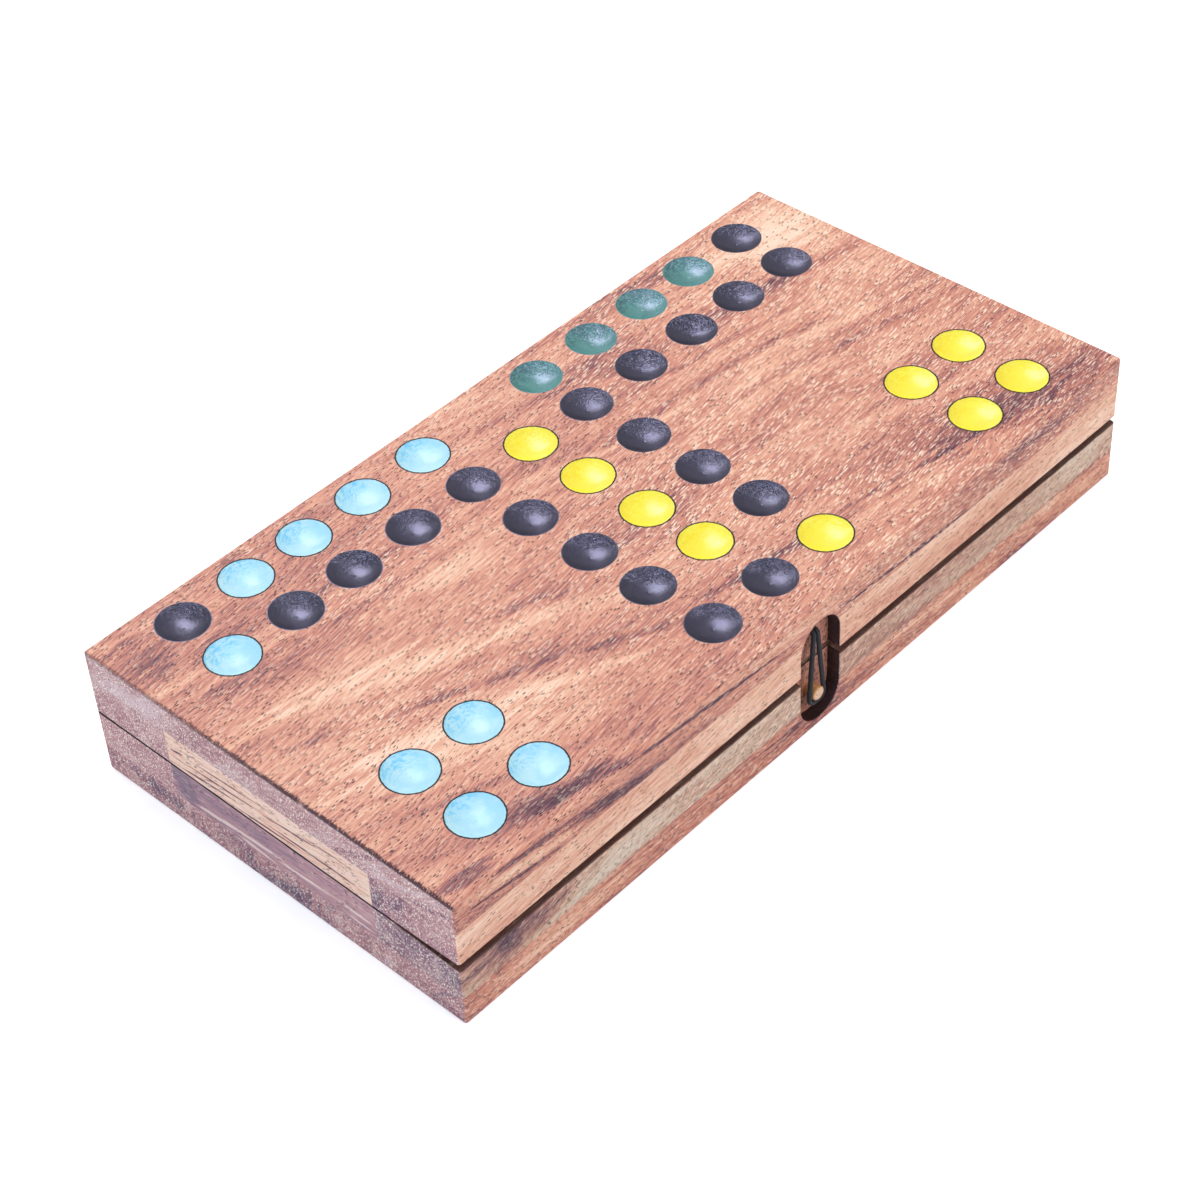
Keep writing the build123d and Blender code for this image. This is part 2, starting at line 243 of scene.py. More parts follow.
# Bands of figure: face, middle, half length, half width, slope in degrees and change of tone
LID_BOARD_BANDS = (
    ("top", (-88, -3), 58, 6.5, -20, 0.34),
    ("top", (-104, -30), 48, 18, -20, 0.20),
    ("top", (-101, -15), 50, 2.2, -23, -0.22),
    ("top", (-114, -24), 40, 3.6, -22, 0.20),
    ("top", (-125, -35), 30, 1.8, -20, -0.24),
    ("top", (-38, -44), 30, 2.2, -28, -0.22),
    ("top", (-70, -38), 34, 3.0, -24, 0.20),
    ("top", (-95, -68), 27, 3.2, -14, -0.36),
    ("top", (-136, -69), 12, 4.0, -10, -0.34),
    ("top", (-110, -50), 40, 1.8, -18, -0.22),
    ("top", (14, -52), 48, 2.0, -9, -0.30),
    ("top", (100, -62), 52, 5.5, -7, -0.10),
    ("top", (62, -57), 36, 1.4, -9, -0.26),
    ("top", (88, 7.5), 64, 5.5, -8, 0.26),
    ("top", (118, -19), 36, 6.5, -6, 0.18),
    ("top", (105, 33), 46, 3.0, -10, -0.22),
    ("top", (82, 24), 46, 1.6, -9, -0.20),
    ("top", (62, 66), 42, 5.0, -6, -0.18),
    ("top", (42, 49), 24, 5.0, -8, -0.18),
    ("top", (122, 56), 34, 12.0, -4, 0.32),
    ("top", (0, 60), 22, 11, -3, 0.10),
    ("top", (132, 44), 22, 26, 0, 0.22),
    ("top", (-137, 58), 14, 13, -6, -0.24),
    ("top", (-106, 26), 44, 5.5, -6, -0.16),
    ("top", (-52, 14), 26, 6.5, -19, 0.14),
    ("top", (0, -14), 30, 12, -10, -0.12),
    ("top", (-118, -60), 36, 11, -14, -0.15),
    ("top", (104, -58), 54, 15, -6, -0.18),
    ("front", (-118, 40.8), 26, 2.6, -9, 0.30),
    ("front", (-124, 38.9), 20, 0.7, -7, -0.50),
    ("front", (-112, 43.8), 24, 1.4, -6, -0.40),
    ("front", (-84, 38.5), 26, 2.2, -8, -0.36),
    ("front", (-43, 42.6), 42, 0.8, -5, -0.60),
    ("front", (-30, 44.6), 40, 1.4, -4, 0.16),
    ("front", (36, 37.4), 34, 0.8, -3, -0.55),
    ("front", (62, 36.0), 26, 0.5, -2, -0.30),
    ("front", (104, 42), 46, 6.5, 1, -0.10),
    ("end", (-65, 39.4), 12, 0.9, -13, -0.40),
    ("end", (-55, 40.6), 18, 1.3, -14, 0.30),
    ("end", (-37, 40.4), 15, 1.5, -25, -0.45),
    ("end", (-60, 43.8), 12, 1.0, -16, -0.20),
    ("end", (-12, 41), 18, 3.0, -10, -0.16),
    ("end", (18, 42), 22, 5.0, -12, -0.28),
    ("end", (54, 39), 24, 5.0, -10, 0.34),
)
LID_FRONT_RAIL_BANDS = (
    ("front", (-42, 29), 22, 5, 2, 0.12),
    ("front", (48, 29), 34, 6, -2, -0.12),
    ("front", (122, 29), 24, 6, -3, 0.12),
    ("front", (-88, 30), 34, 0.4, 8, -0.24),
    ("front", (-64, 27), 20, 0.4, 8, -0.24),
    ("end", (-52, 31.5), 5, 2.5, -60, -0.25),
    ("end", (-43.5, 28), 3, 5, 20, -0.22),
    ("end", (-66, 32), 6, 3, -30, 0.16),
)
BASE_FRONT_RAIL_BANDS = (
    ("front", (-124, 17), 26, 8, 4, -0.38),
    ("front", (-128, 17), 7, 6, 60, -0.20),
    ("front", (-78, 17), 30, 7, 3, 0.34),
    ("front", (-34, 17), 26, 6, 2, 0.10),
    ("front", (48, 17), 42, 7, -2, -0.12),
    ("front", (128, 17), 22, 7, -3, 0.16),
    ("end", (-64.5, 17), 8, 1.7, 88, 0.36),
    ("end", (-42.4, 17), 8, 1.4, 88, 0.28),
    ("end", (-53, 17), 9, 5.5, 88, -0.16),
)
BASE_BOARD_BANDS = (
    ("front", (-116, 5.5), 30, 0.9, -6, 0.24),
    ("front", (-90, 8.6), 50, 0.5, -1, -0.24),
    ("front", (-60, 7.4), 60, 0.6, 1, 0.16),
    ("front", (-30, 8.0), 30, 0.5, -3, -0.30),
    ("front", (40, 8.4), 30, 0.6, -4, 0.20),
    ("front", (30, 4.4), 40, 0.7, -5, -0.28),
    ("front", (70, 6.0), 50, 0.9, -5, 0.20),
    ("front", (122, 6), 32, 6.0, -2, 0.26),
    ("front", (28, 5), 32, 6.0, 0, 0.14),
    ("end", (-66, 7), 8, 0.9, -40, -0.30),
    ("end", (-10, 5), 22, 3, -12, -0.24),
    ("end", (50, 7), 22, 3, 6, -0.26),
    ("end", (-30, 8), 18, 1.2, -14, 0.20),
    ("end", (-45, 3), 20, 1, -16, 0.22),
)
BASE_LEFT_RAIL_BANDS = (
    ("end", (-34.5, 14.9), 6, 0.55, 0, 1.20),
    ("end", (-35, 11.9), 5.5, 0.5, 1, 0.96),
    ("end", (-14, 14.2), 13, 0.9, -3, 0.80),
    ("end", (8, 14.4), 14, 0.8, -2, 1.20),
    ("end", (22, 13.2), 13, 0.8, -5, 1.20),
    ("end", (6, 11.8), 8, 0.7, 2, 0.88),
    ("end", (34, 17), 8, 5.0, 66, -0.67),
    ("end", (0, 19), 40, 3, 0, -0.13),
)
LID_LEFT_RAIL_BANDS = (
    ("end", (-10, 30.4), 14, 0.5, -6, -1.3),
    ("end", (-18, 26.8), 16, 0.45, -1, -1.2),
    ("end", (-24, 32.6), 14, 0.30, -3, -0.72),
    ("end", (14, 31.6), 24, 0.40, -4, -0.9),
    ("end", (18, 28.6), 22, 0.42, -4, -1.1),
    ("end", (26, 25.6), 14, 0.55, -5, -1.2),
    ("end", (0, 24.9), 20, 0.40, -3, -1.0),
    ("end", (35, 30.2), 4, 0.6, -12, -0.96),
)

# The middle of the growth rings across the timber and how closely they lie, how far the broad figure
# and the fibres wander along, across and through the timber, the tone of plain wood from 0 for purple
# to 1 for cream, and how much of the end grain's tint, its own colour with a painted cool sheen, its ends
# take
PITH_MM = (0, -60, -40)
RINGS_PER_MM = 0.24
FIGURE_SWAY_MM = (0, 16, 16)
FIBRE_SWAY_MM = (0, 6, 4)
MIDDLE_TONE = 0.54
END_TINT_AND_SHEEN_SHARE = 0.75

# The latch slot, where the wood is scorched and darkened with painted shade, and the finger relief and
# seam, where it has painted shade with grime, in millimetres
SLOT_MIDDLE_X = 0.4
SLOT_HALF_WIDTH = 9.0
SLOT_TOP = 41.2
SLOT_BOTTOM = 2.1
SLOT_LIP = 0.35
GRIME_AND_SHADE_REACH = 7.0
SEAM_SHADE_MM = 0.8
seam_mm = (front_rail_low.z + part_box("base_front_rail")[1].z) / 2 / MM
front_mm = lid_low.y / MM
half_length_mm = lid_high.x / MM
slot_wall_mm = loop_high.y / MM


def sum_of(make, *values):
    """The values added up."""
    total = values[0]
    for value in values[1:]:
        total = make.math("ADD", total, value)
    return total


def product_of(make, *values):
    """The values multiplied together."""
    total = values[0]
    for value in values[1:]:
        total = make.math("MULTIPLY", total, value)
    return total


def around_zero(make, pattern, share):
    """A pattern that runs about 0.5, as one that runs about 0 with a chosen strength."""
    return make.math("MULTIPLY", make.math("SUBTRACT", pattern, 0.5), share)


def between(make, value, low, high, soft):
    """1 where the value lies between two limits, with soft ends."""
    above = make.step(value, low - soft, low)
    below = make.step(value, high, high + soft, 1.0, 0.0)
    return make.math("MULTIPLY", above, below)


def figure(make, place, ragged, bands):
    """The change of tone that the bands bring, each on the face that it was drawn on."""
    axes = make.node("ShaderNodeSeparateXYZ", {"Vector": place}).outputs
    total = 0.0
    for face, (first, second, normal) in FACES.items():
        drawn = [band for band in bands if band[0] == face]
        if not drawn:
            continue
        flat = make.node("ShaderNodeCombineXYZ", {"X": axes[first], "Y": axes[second]}).outputs[0]
        changes = []
        for _, (across, up), length, width, slope, change in drawn:
            oval = make.turned(flat, (0, 0, slope), (1 / length, 1 / width, 0), (across, up, 0))
            reach = make.math("ADD", make.vector("LENGTH", oval), ragged)
            changes.append(make.step(reach, 0.30, 1.15, change, 0.0))
        seen = make.step(make.facing(normal), 0.55, 0.90)
        total = make.math("ADD", total, product_of(make, sum_of(make, *changes), seen))
    return total


def scorched_and_shaded(make, place, colour):
    """Burnt cutter marks on the walls of the latch slot with painted shade that darkens the recess, its
    side walls darker than its redder back wall.
    """
    axes = make.node("ShaderNodeSeparateXYZ", {"Vector": place}).outputs
    inside = product_of(
        make,
        between(make, axes["X"], SLOT_MIDDLE_X - SLOT_HALF_WIDTH, SLOT_MIDDLE_X + SLOT_HALF_WIDTH, 0.1),
        between(make, axes["Y"], front_mm + SLOT_LIP, slot_wall_mm + 0.3, 0.1),
        between(make, axes["Z"], SLOT_BOTTOM, SLOT_TOP, 0.1))
    blotches = make.noise(make.turned(place, scale=(0.8, 0.8, 0.6)), detail=6.0, roughness=0.8)
    back = make.mix(make.step(blotches, 0.38, 0.52), SCORCH_AND_SHADE, SLOT_BACK_WALL)
    # The side walls are painted darker than the back wall, as shade
    wall = make.mix(make.step(blotches, 0.50, 0.72), SCORCH_AND_SHADE, srgb(92, 56, 50))
    burnt_and_shaded = make.mix(make.step(make.facing((0, 1, 0)), 0.6, 0.9), wall, back)
    return make.mix(inside, colour, burnt_and_shaded)


def shaded_and_grimy(make, place, colour):
    """Painted shade with some grime on the slopes beside the seam under the lid's overhang, and a thin
    line of painted shade with dirt in the joint of the two halves at the ends.
    """
    axes = make.node("ShaderNodeSeparateXYZ", {"Vector": place}).outputs
    off_middle = make.math("ABSOLUTE", axes["X"])
    smear = make.noise(make.turned(place, scale=(0.06, 0.5, 0.5)), detail=4.0, roughness=0.7)
    beyond = make.step(off_middle, half_length_mm - 7, half_length_mm - 1, 0.0, 26.0)
    beyond = make.math("ADD", beyond, around_zero(make, smear, 5.0))
    inner = make.math("SUBTRACT", axes["Y"], beyond)
    # Painted shade with some grime on the upward slopes near the front, reaching further in along the
    # ends
    mask = product_of(
        make,
        make.step(smear, 0.30, 0.55, 0.70, 1.0),
        between(make, axes["Z"], seam_mm - 2.2, seam_mm + 1.2, 0.1),
        make.step(make.facing((0, 0, 1)), 0.5, 0.9),
        make.step(inner, front_mm + GRIME_AND_SHADE_REACH * 0.4, front_mm + GRIME_AND_SHADE_REACH, 0.94, 0.0))
    ragged = make.noise(make.turned(place, scale=(0.12, 0.3, 0.8)), detail=3.0)
    ragged_z = make.math("ADD", axes["Z"], around_zero(make, ragged, 0.9))
    # Painted shade of the gap with some wear, in a ragged band just below the seam on the front
    worn_and_shaded = product_of(
        make,
        make.step(ragged_z, seam_mm - 2.4, seam_mm - 2.1),
        make.step(axes["Z"], seam_mm, seam_mm + 0.1, 1.0, 0.0),
        make.step(axes["Y"], front_mm + 0.8, front_mm + 1.2, 0.9, 0.0))
    colour = make.mix(make.math("MAXIMUM", mask, worn_and_shaded), colour, GRIME_AND_GAP_SHADE)
    # A thin line of painted shade with dirt along the joint at the ends
    width = make.noise(make.turned(place, scale=(0.03, 0.05, 0)), detail=2.0)
    off_seam = make.math("ABSOLUTE", make.math("SUBTRACT", axes["Z"], seam_mm))
    line = product_of(
        make,
        make.math("LESS_THAN", off_seam, make.math("MULTIPLY", width, SEAM_SHADE_MM)),
        make.step(off_middle, half_length_mm - 1.0, half_length_mm - 0.6))
    return make.mix(line, colour, SEAM_SHADE)


def chipped(make, place, colour, height_mm):
    """Dark broken grain along the arris of the left end, where the saw tore the playing face."""
    axes = make.node("ShaderNodeSeparateXYZ", {"Vector": place}).outputs
    torn = make.noise(make.turned(place, scale=(0.8, 2.2, 1.1)), detail=4.0, roughness=0.8)
    stretch = make.noise(make.turned(place, scale=(0.02, 0.09, 0.02)), detail=2.0)
    reach = make.math("ADD", axes["X"], around_zero(make, torn, 5.0))
    drop = make.math("ADD", axes["Z"], around_zero(make, torn, 3.0))
    mask = product_of(
        make,
        make.step(reach, 0.5 - half_length_mm, 0.9 - half_length_mm, 1.0, 0.0),
        make.step(drop, height_mm - 1.3, height_mm - 0.9),
        make.step(axes["X"], 1.8 - half_length_mm, 2.4 - half_length_mm, 1.0, 0.0),
        make.step(stretch, 0.26, 0.40),
        make.step(axes["Y"], front_mm + 60, front_mm + 130, 0.95, 0.45))
    return make.mix(mask, colour, srgb(70, 38, 46))


def wandering(make, coords, scale, reach_mm):
    """The coordinates pushed to and fro by up to half a reach, as a soft noise of a scale says."""
    push = make.noise(make.turned(coords, scale=scale), detail=1.5, colour=True)
    push = make.vector("MULTIPLY", make.vector("SUBTRACT", push, (0.5, 0.5, 0.5)), reach_mm)
    return make.vector("ADD", coords, push)


def vessels(make, coords, reach, pale_share, dark_share):
    """Cut vessels of the wood: masks of the pale dashes and of the dark pores near their ends."""
    cells = make.cells(coords)
    chance = make.node("ShaderNodeSeparateColor", {"Color": cells.outputs["Color"]}).outputs
    off = make.vector("SUBTRACT", coords, cells.outputs["Position"])
    dash = make.vector("LENGTH", make.vector("MULTIPLY", off, (0.62, 1, 1)))
    own_reach = make.math("MULTIPLY", reach, make.step(chance["Blue"], 0, 1, 0.6, 1.15))
    dash = make.math("DIVIDE", dash, own_reach)
    off_end = make.vector("ADD", off, (0.3, 0, 0))
    pore = make.vector("LENGTH", make.vector("MULTIPLY", off_end, (1.05, 1, 1)))
    pale = make.math("MULTIPLY", make.step(dash, 0.26, 0.36, 1.0, 0.0),
                     make.math("LESS_THAN", chance["Red"], pale_share))
    dark = make.math("MULTIPLY", make.step(pore, 0.18, 0.28, 1.0, 0.0),
                     make.math("LESS_THAN", chance["Green"], dark_share))
    return pale, dark, chance["Blue"]


def wood(name, grain="X", slant=-4.0, fibre_slant=6.0, pitch=0.0, level=0.0, contrast=1.0, seed=0.0,
         bands=(), flecks=0.75, pores=0.4, fleck_drift=0.0, tint=NO_TINT, wash=0.0, end_level=0.0,
         torn_at=None):
    """Oiled hardwood with solid grain, so that a piece's ends show the same rings and pores as its sides.

    The broad figure runs at one slant along the timber, and the fibres with their vessels at another.
    """
    make = Finish(name)
    place = make.place()
    lies_across = grain == "Y"
    along_y = 90 if lies_across else 0
    start = (seed * 3.1, 0, seed * 7.7)
    local = make.turned(place, (0, 0, slant + along_y), move=start)
    bent = wandering(make, local, (0.010, 0.022, 0.022), FIGURE_SWAY_MM)
    fibre_line = make.turned(place, (0, pitch, fibre_slant + along_y), move=start)
    fine = wandering(make, fibre_line, (0.025, 0.04, 0.04), FIBRE_SWAY_MM)

    ring = make.vector("MULTIPLY", make.turned(bent, move=PITH_MM), (0, RINGS_PER_MM, RINGS_PER_MM))
    ring_reach = make.vector("LENGTH", ring)
    ring_place = make.node("ShaderNodeCombineXYZ", {"X": ring_reach, "Y": seed}).outputs[0]
    rings = make.noise(ring_place, detail=4.0, roughness=0.65)
    clouds = make.noise(make.turned(bent, scale=(0.014, 0.07, 0.07)), detail=3.0)
    fibres = make.noise(make.turned(fine, scale=(0.10, 1.5, 1.5)), detail=4.0, roughness=0.7)
    ragged = make.noise(make.turned(bent, scale=(0.04, 0.45, 0.45)), detail=4.0, roughness=0.6)
    tone = sum_of(
        make,
        around_zero(make, rings, 1.6 * contrast),
        around_zero(make, clouds, 1.3 * contrast),
        around_zero(make, fibres, 1.5),
        MIDDLE_TONE + level)
    if bands:
        tone = make.math("ADD", tone, figure(make, place, around_zero(make, ragged, 1.8), bands))
    end = make.step(make.facing((0, 1, 0) if lies_across else (1, 0, 0)), 0.7, 0.95)
    tone = make.math("ADD", tone, make.math("MULTIPLY", end, end_level))
    washed = make.step(tone, 0.80, 1.05, wash, 0.0)
    colour = make.mix(washed, make.mix(1.0, make.ramp(tone, HEARTWOOD), tint, "MULTIPLY"), END_GRAIN_WASH)
    # The ends take the end grain's colour with a painted cool sheen
    tinted = make.mix(1.0, make.mix(0.22, colour, END_GRAIN_WASH), END_GRAIN_COOL_SHEEN_TINT, "MULTIPLY")
    colour = make.mix(make.math("MULTIPLY", end, END_TINT_AND_SHEEN_SHARE), colour, tinted)

    along = make.node("ShaderNodeSeparateXYZ", {"Vector": place}).outputs["X"]
    drift = make.math("MULTIPLY", along, fleck_drift)
    patches = make.turned(place, scale=(0.012, 0.03, 0.03), move=(seed * 11, 40, 0))
    region = make.noise(patches, detail=2.0)
    region = make.step(make.math("ADD", region, drift), 0.28, 0.62, 0.35, 1.0)
    reach = make.math("ADD", 1.0, make.math("MULTIPLY", end, 0.10))
    dark_share = make.step(drift, -0.25, 0.12, pores * 2.0, pores * 1.2)
    dark_share = make.math("ADD", dark_share, make.math("MULTIPLY", end, 0.3))
    pale, dark, chance = vessels(make, make.turned(fine, scale=(0.34, 1.5, 1.5)), reach, 0.85, dark_share)
    small = make.turned(fine, scale=(0.46, 2.0, 2.0), move=(0.3, 0.8, 0.2))
    small_pale, small_dark, _ = vessels(make, small, reach, 0.45, pores)
    pale = make.math("MULTIPLY", pale, make.math("ADD", 0.65, make.math("MULTIPLY", chance, 0.35)))
    pale = make.math("MAXIMUM", pale, make.math("MULTIPLY", small_pale, 0.6))
    strength = make.step(end, 0.0, 1.0, make.math("MULTIPLY", region, flecks), 1.0)
    fleck = make.mix(make.math("MULTIPLY", end, 0.8), FLECK_PALE, FLECK_WHITE)
    colour = make.mix(make.math("MULTIPLY", pale, strength), colour, fleck)
    dark = make.math("MAXIMUM", dark, make.math("MULTIPLY", small_dark, 0.8))
    colour = make.mix(make.math("MULTIPLY", dark, 0.95), colour, PORE_DARK)

    colour = scorched_and_shaded(make, place, shaded_and_grimy(make, place, colour))
    if torn_at is not None:
        colour = chipped(make, place, colour, torn_at)

    roughness = make.math("ADD", 0.48, make.math("MULTIPLY", fibres, 0.16))
    relief = make.math("SUBTRACT", make.math("MULTIPLY", fibres, 0.35), dark)
    return make.surface(Base_Color=colour, Roughness=roughness, Specular_IOR_Level=0.35,
                        Normal=make.bump(relief, 0.12 * MM, 0.6))


# How each piece of timber differs from the next
TIMBERS = {
    "lid_board": {
        "slant": -9, "fibre_slant": 7, "level": -0.06, "contrast": 0.58, "bands": LID_BOARD_BANDS,
        "flecks": 0.88, "fleck_drift": 0.0016, "end_level": 0.22},
    "base_board": {
        "slant": 3, "level": -0.11, "seed": 5, "bands": BASE_BOARD_BANDS,
        "flecks": 0.7, "pores": 0.5, "tint": srgb(255, 250, 248)},
    "lid_front_rail": {
        "slant": 1, "pitch": -8, "level": 0.20, "end_level": -0.35, "contrast": 0.65, "seed": 11,
        "flecks": 0.35, "pores": 0.30, "bands": LID_FRONT_RAIL_BANDS},
    "base_front_rail": {
        "slant": 2, "pitch": -18, "level": 0.12, "end_level": -0.29, "contrast": 0.75, "seed": 17,
        "flecks": 1.0, "pores": 0.5, "bands": BASE_FRONT_RAIL_BANDS, "tint": srgb(226, 246, 252)},
    "lid_back_rail": {"level": 0.10, "seed": 23, "flecks": 0.9},
    "base_back_rail": {"level": 0.02, "contrast": 0.7, "seed": 29},
    "lid_left_rail": {
        "grain": "Y", "slant": 0, "fibre_slant": 0, "pitch": 4, "level": 0.36, "contrast": 0.4,
        "seed": 31, "flecks": 0.6, "pores": 0.40, "bands": LID_LEFT_RAIL_BANDS},
    "lid_right_rail": {"grain": "Y", "slant": 0, "level": 0.05, "seed": 37},
    "base_left_rail": {
        "grain": "Y", "slant": 0, "fibre_slant": 0, "level": -0.20, "contrast": 0.6, "seed": 41,
        "flecks": 0.3, "pores": 0.3, "bands": BASE_LEFT_RAIL_BANDS,
        # Its bluish tint is partly painted cool light from the left
        "tint": srgb(232, 240, 255), "wash": 0.35},
    "base_right_rail": {"grain": "Y", "slant": 0, "level": -0.02, "seed": 43},
}


def dress_wood():
    """Every board and rail is its own piece of timber."""
    for name, differences in TIMBERS.items():
        torn_at = top_z / MM if name == "lid_board" else None
        dress(name, wood(f"{name}_wood", torn_at=torn_at, **differences))


def peg_wood():
    """The pale dowel, with rings on its end."""
    make = Finish("peg_wood")
    place = make.place()
    middle = ((peg_low + peg_high) / 2) / MM
    local = make.turned(place, move=tuple(middle))
    fibre = make.noise(make.turned(local, scale=(2.2, 0.12, 2.2)), detail=3.0)
    colour = make.ramp(fibre, ((0.25, srgb(184, 122, 70)), (0.75, srgb(222, 166, 108))))
    end = make.step(make.facing((0, 1, 0)), 0.7, 0.95)
    speck = make.noise(make.turned(local, scale=(2.6, 0.2, 2.6)), detail=4.0, roughness=0.7)
    pale = make.ramp(speck, ((0.35, srgb(206, 146, 108)), (0.62, srgb(246, 218, 186))))
    colour = make.mix(end, colour, pale)
    return make.surface(Base_Color=colour, Roughness=0.55, Normal=make.bump(fibre, 0.05 * MM, 0.5))


# ---------------------------------------------------------------- enamel

# Colour, its deeper shade, which also serves as painted shade in the wrinkles and on the far wall, the
# shade of thin paint, roughness, how strong the brush marks are, and how wrinkled and glossy the paint is
ENAMELS = {
    "black": (srgb(34, 30, 38), srgb(16, 14, 20), srgb(54, 50, 62), 0.30, 1.2, 0.48),
    "blue": (srgb(188, 230, 240), srgb(118, 204, 240), srgb(216, 244, 248), 0.32, 0.6, 0.09),
    "yellow": (srgb(250, 238, 66), srgb(250, 224, 34), srgb(252, 246, 124), 0.28, 0.6, 0.11),
    "green": (srgb(80, 142, 133), srgb(40, 94, 92), srgb(118, 176, 168), 0.26, 1.0, 0.52),
    "red": (srgb(206, 50, 46), srgb(166, 30, 32), srgb(226, 96, 82), 0.30, 0.6, 0.11),
}
ARM_REACH = 5
HOLLOW_DIAMETER_MM = 16.5
black_low, black_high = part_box("lid_black_enamel")
column_pitch_mm = ((black_high.x - black_low.x) / MM - HOLLOW_DIAMETER_MM) / (2 * ARM_REACH)
row_pitch_mm = ((black_high.y - black_low.y) / MM - HOLLOW_DIAMETER_MM) / ARM_REACH
last_row_mm = black_low.y / MM + HOLLOW_DIAMETER_MM / 2


def brush_swirl(make, place):
    """Strokes that run round each hollow, from the even grid that the hollows are drilled on."""
    grid = make.turned(place, scale=(1 / column_pitch_mm, 1 / row_pitch_mm, 0), move=(0, last_row_mm, 0))
    cell = make.vector("FLOOR", make.vector("ADD", grid, (0.5, 0.5, 0)))
    off_middle = make.vector("SUBTRACT", grid, cell)
    inward = make.vector("MULTIPLY", off_middle, (column_pitch_mm, row_pitch_mm, 0))
    radius = make.vector("LENGTH", inward)
    heading = make.vector("MULTIPLY", make.vector("NORMALIZE", inward), (3.2, 3.2, 0))
    depth = make.node("ShaderNodeCombineXYZ", {"Z": make.math("MULTIPLY", radius, 1.2)}).outputs[0]
    stroke_place = make.vector("ADD", heading, depth)
    stroke_place = make.vector("ADD", stroke_place, make.vector("MULTIPLY", cell, (7, 13, 0)))
    own = make.node("ShaderNodeTexWhiteNoise", {"Vector": cell}).outputs["Value"]
    return make.noise(stroke_place, detail=4.0, roughness=0.7, distortion=0.7), inward, radius, own


def enamel(name):
    """Hand-brushed gloss paint, wrinkled where it gathered on the wall of a hollow."""
    base, deep, thin, roughness, brushed, crusted = ENAMELS[name]
    make = Finish(f"{name}_enamel")
    place = make.place()
    strokes, inward, radius, own = brush_swirl(make, place)
    pool = make.noise(make.turned(place, scale=(0.16, 0.16, 0.25)), detail=2.0, distortion=0.8)
    crust_place = make.turned(place, scale=(0.62, 0.62, 0.62))
    crust = make.noise(crust_place, detail=2.5, roughness=0.5, distortion=1.2)
    grit = make.noise(make.turned(place, scale=(2.2, 2.2, 2.2)), detail=3.0)
    wall = make.step(radius, 2.5, 7.0)
    lean = make.vector("DOT_PRODUCT", inward, (0.75, 0.65, 0))
    rough_side = product_of(make, make.step(lean, 2.2, 6.2), make.math("ADD", 0.35, own))
    colour = make.mix(make.math("MULTIPLY", make.step(pool, 0.38, 0.62), 0.3), base, deep)
    # Deeper brush streaks on the far wall of each hollow, painted darker there as shade
    streaked_shaded_wall = make.step(make.vector("DOT_PRODUCT", inward, (-0.2, 1, 0)), 1.0, 6.5)
    colour = make.mix(product_of(make, make.step(strokes, 0.46, 0.60), streaked_shaded_wall, 0.9), colour, deep)
    colour = make.mix(make.math("MULTIPLY", make.step(strokes, 0.46, 0.32), 0.3), colour, thin)
    # Painted shade in the pits of the wrinkled paint
    pit_shade = product_of(make, make.step(crust, 0.50, 0.38), rough_side, min(1.0, 2.0 * crusted))
    colour = make.mix(make.math("MULTIPLY", pit_shade, 0.8), colour, deep)
    shine = make.math("SUBTRACT", roughness, make.math("MULTIPLY", rough_side, 0.04))
    stroke_height = make.math("ADD", 0.035, make.math("MULTIPLY", wall, 0.09))
    ridges = sum_of(make, product_of(make, strokes, stroke_height, brushed, make.step(radius, 0.6, 2.0)),
                    make.math("MULTIPLY", grit, 0.004 * brushed),
                    product_of(make, crust, rough_side, 0.5 * crusted),
                    product_of(make, make.step(crust, 0.44, 0.58), rough_side, 0.22 * crusted))
    return make.surface(Base_Color=colour, Roughness=shine, Specular_Tint=srgb(214, 212, 255),
                        Specular_IOR_Level=1.0, IOR=1.4 + 0.7 * crusted,
                        Normal=make.bump(ridges, 1.2 * MM, 1.0))


def dress_enamel():
    """Every group of hollows has the enamel of its colour."""
    made = {colour: enamel(colour) for colour in ENAMELS}
    for side in ("lid", "base"):
        for colour, material in made.items():
            if f"{side}_{colour}_enamel" in nodes:
                dress(f"{side}_{colour}_enamel", material)


def islands(mesh):
    """The connected pieces of a mesh, as lists of points."""
    parent = list(range(len(mesh.vertices)))

    def root(index):
        """The point that stands for a point's whole piece."""
        while parent[index] != index:
            parent[index] = parent[parent[index]]
            index = parent[index]
        return index

    for edge in mesh.edges:
        first, second = (root(index) for index in edge.vertices)
        parent[first] = second
    groups = {}
    for index, vertex in enumerate(mesh.vertices):
        groups.setdefault(root(index), []).append(vertex.co)
    return list(groups.values())


def hollow_middles(name):
    """Where the hollows of one enamel node lie, from their outlines."""
    found = []
    for points in islands(nodes[name].data):
        xs = [point.x for point in points]
        ys = [point.y for point in points]
        middle = ((min(xs) + max(xs)) / 2, (min(ys) + max(ys)) / 2)
        if all(math.dist(middle, other) > HOLLOW_DIAMETER_MM / 2 * MM for other in found):
            found.append(middle)
    return sorted(found)


OUTLINE_INSIDE_MM = 7.98
OUTLINE_OUTSIDE_MM = 8.46
OUTLINE_STEPS = 144
OUTLINE_RISE_MM = 0.02


